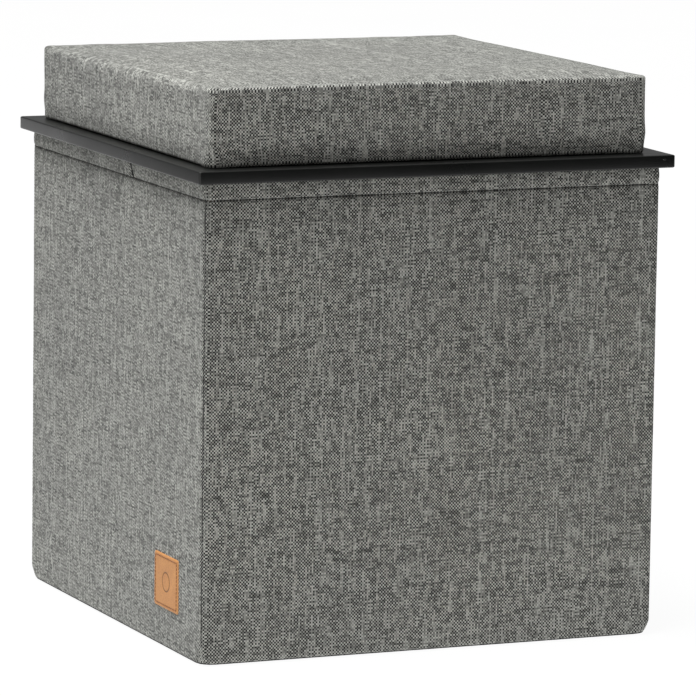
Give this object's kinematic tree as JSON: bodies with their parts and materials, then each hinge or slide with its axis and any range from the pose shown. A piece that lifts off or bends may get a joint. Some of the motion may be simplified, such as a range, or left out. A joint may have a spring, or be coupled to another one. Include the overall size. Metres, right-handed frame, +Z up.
{
  "type": "storage ottoman",
  "caption": "Square storage ottoman: a fabric-covered box with a lift-off lid, a black steel frame carrying an upholstered box cushion, and a small leather tag on one side.",
  "frame": {"origin": "on the floor, under the middle of the box", "axes": "+Z up; -Y is the front and -X the left side, which carries the leather tag"},
  "size_m": [0.4, 0.4, 0.442],
  "materials": {
    "melange_fabric": "matte",
    "lining_cloth": "matte",
    "black_cloth": "matte",
    "black_steel": "satin",
    "screw_steel": "satin",
    "panel_board": "matte",
    "plywood": "matte",
    "foam": "matte",
    "black_plastic": "matte",
    "tan_leather": "satin"
  },
  "bodies": {
    "box": {"wall_front": "panel_board", "wall_back": "panel_board", "wall_left": "panel_board", "wall_right": "panel_board", "base_panel": "panel_board", "lining": "lining_cloth", "outer_cover": "melange_fabric", "hem_binding": "melange_fabric", "bottom_cloth": "black_cloth", "leather_tag": "tan_leather", "corner_screw_1": "screw_steel", "corner_screw_2": "screw_steel", "corner_screw_3": "screw_steel", "corner_screw_4": "screw_steel", "corner_screw_5": "screw_steel", "corner_screw_6": "screw_steel", "corner_screw_7": "screw_steel", "corner_screw_8": "screw_steel", "base_screw_1": "screw_steel", "base_screw_2": "screw_steel", "base_screw_3": "screw_steel", "base_screw_4": "screw_steel", "base_screw_5": "screw_steel", "base_screw_6": "screw_steel", "base_screw_7": "screw_steel", "base_screw_8": "screw_steel"},
    "lid": {"frame_rail_front": "black_steel", "frame_rail_right": "black_steel", "frame_rail_back": "black_steel", "frame_rail_left": "black_steel", "lid_guide_front_left": "black_plastic", "lid_guide_front_right": "black_plastic", "lid_guide_back_right": "black_plastic", "lid_guide_back_left": "black_plastic", "dust_cover": "black_cloth", "seat_board": "plywood", "seat_foam": "foam", "seat_cover": "melange_fabric", "seat_screw_1": "screw_steel", "seat_screw_2": "screw_steel", "seat_screw_3": "screw_steel", "seat_screw_4": "screw_steel", "seat_screw_5": "screw_steel", "seat_screw_6": "screw_steel", "seat_screw_7": "screw_steel", "seat_screw_8": "screw_steel", "guide_screw_1": "screw_steel", "guide_screw_2": "screw_steel", "guide_screw_3": "screw_steel", "guide_screw_4": "screw_steel", "guide_screw_5": "screw_steel", "guide_screw_6": "screw_steel", "guide_screw_7": "screw_steel", "guide_screw_8": "screw_steel"}
  },
  "joints": [
    {"name": "lid_lift", "type": "slide", "parent": "box", "child": "lid", "axis": [0, 0, 1], "range_m": [0, 0.3]}
  ]
}
